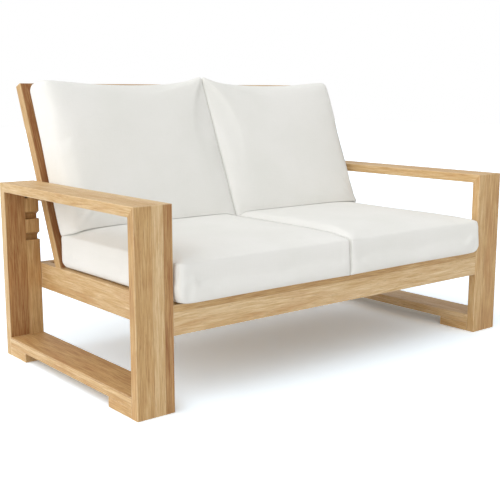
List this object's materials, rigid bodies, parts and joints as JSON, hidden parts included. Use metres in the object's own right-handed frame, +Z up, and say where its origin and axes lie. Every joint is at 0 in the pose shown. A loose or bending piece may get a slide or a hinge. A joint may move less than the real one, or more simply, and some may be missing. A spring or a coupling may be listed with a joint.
{
  "type": "patio loveseat",
  "caption": "Two-seat wooden patio sofa with box side frames, notched rear legs, a hinged slatted back with a support bar, and loose seat and back cushions.",
  "frame": {"origin": "on the floor, under the middle of the whole width and depth", "axes": "+X to the right as seen from the front, -Y to the front, +Z up"},
  "size_m": [1.674, 1.04, 0.9893],
  "materials": {
    "teak": "sanded and oiled, satin",
    "dowel_wood": "plain",
    "stainless_steel": "brushed",
    "cushion_cloth": "plain woven outdoor cloth"
  },
  "bodies": {
    "frame": {"barrel_nuts": "stainless_steel", "centre_stretcher": "teak", "connector_bolts": "stainless_steel", "front_ledger": "teak", "front_rail": "teak", "hinge_pins": "stainless_steel", "hinge_rail": "teak", "hinge_seat_leaves": "stainless_steel", "hinge_seat_screws": "stainless_steel", "left_arm": "teak", "left_bottom_rail": "teak", "left_front_foot": "teak", "left_front_leg": "teak", "left_rear_foot": "teak", "left_rear_leg": "teak", "left_side_rail": "teak", "mitre_dowels": "dowel_wood", "rear_rail": "teak", "right_arm": "teak", "right_bottom_rail": "teak", "right_front_foot": "teak", "right_front_leg": "teak", "right_rear_foot": "teak", "right_rear_leg": "teak", "right_side_rail": "teak", "seat_slat_1": "teak", "seat_slat_10": "teak", "seat_slat_11": "teak", "seat_slat_2": "teak", "seat_slat_3": "teak", "seat_slat_4": "teak", "seat_slat_5": "teak", "seat_slat_6": "teak", "seat_slat_7": "teak", "seat_slat_8": "teak", "seat_slat_9": "teak", "slat_screws": "stainless_steel"},
    "back": {"back_bottom_rail": "teak", "back_slat_1": "teak", "back_slat_10": "teak", "back_slat_2": "teak", "back_slat_3": "teak", "back_slat_4": "teak", "back_slat_5": "teak", "back_slat_6": "teak", "back_slat_7": "teak", "back_slat_8": "teak", "back_slat_9": "teak", "back_top_rail": "teak", "hinge_back_leaves": "stainless_steel", "hinge_back_screws": "stainless_steel", "left_stile": "teak", "right_stile": "teak", "support_bar": "teak"},
    "left_seat_cushion": {"left_seat_cushion": "cushion_cloth"},
    "right_seat_cushion": {"right_seat_cushion": "cushion_cloth"},
    "left_back_cushion": {"left_back_cushion": "cushion_cloth"},
    "right_back_cushion": {"right_back_cushion": "cushion_cloth"}
  },
  "joints": [
    {"name": "back_tilt", "type": "hinge", "parent": "frame", "child": "back", "pos_m": [0, 0.22097, 0.324], "axis": [1, 0, 0], "range_deg": [0, 5.5]},
    {"name": "left_seat_cushion_slide", "type": "slide", "parent": "frame", "child": "left_seat_cushion", "axis": [0, -1, 0], "range_m": [0, 0.78]},
    {"name": "right_seat_cushion_slide", "type": "slide", "parent": "frame", "child": "right_seat_cushion", "axis": [0, -1, 0], "range_m": [0, 0.78]},
    {"name": "left_back_cushion_rise", "type": "slide", "parent": "back", "child": "left_back_cushion", "axis": [0, 0.3811, 0.9245], "range_m": [0, 0.014]},
    {"name": "right_back_cushion_rise", "type": "slide", "parent": "back", "child": "right_back_cushion", "axis": [0, 0.3811, 0.9245], "range_m": [0, 0.014]}
  ],
  "couplings": [
    {"joint": "left_back_cushion_rise", "follows": "back_tilt", "m_per_rad": 0.12},
    {"joint": "right_back_cushion_rise", "follows": "back_tilt", "m_per_rad": 0.12}
  ]
}
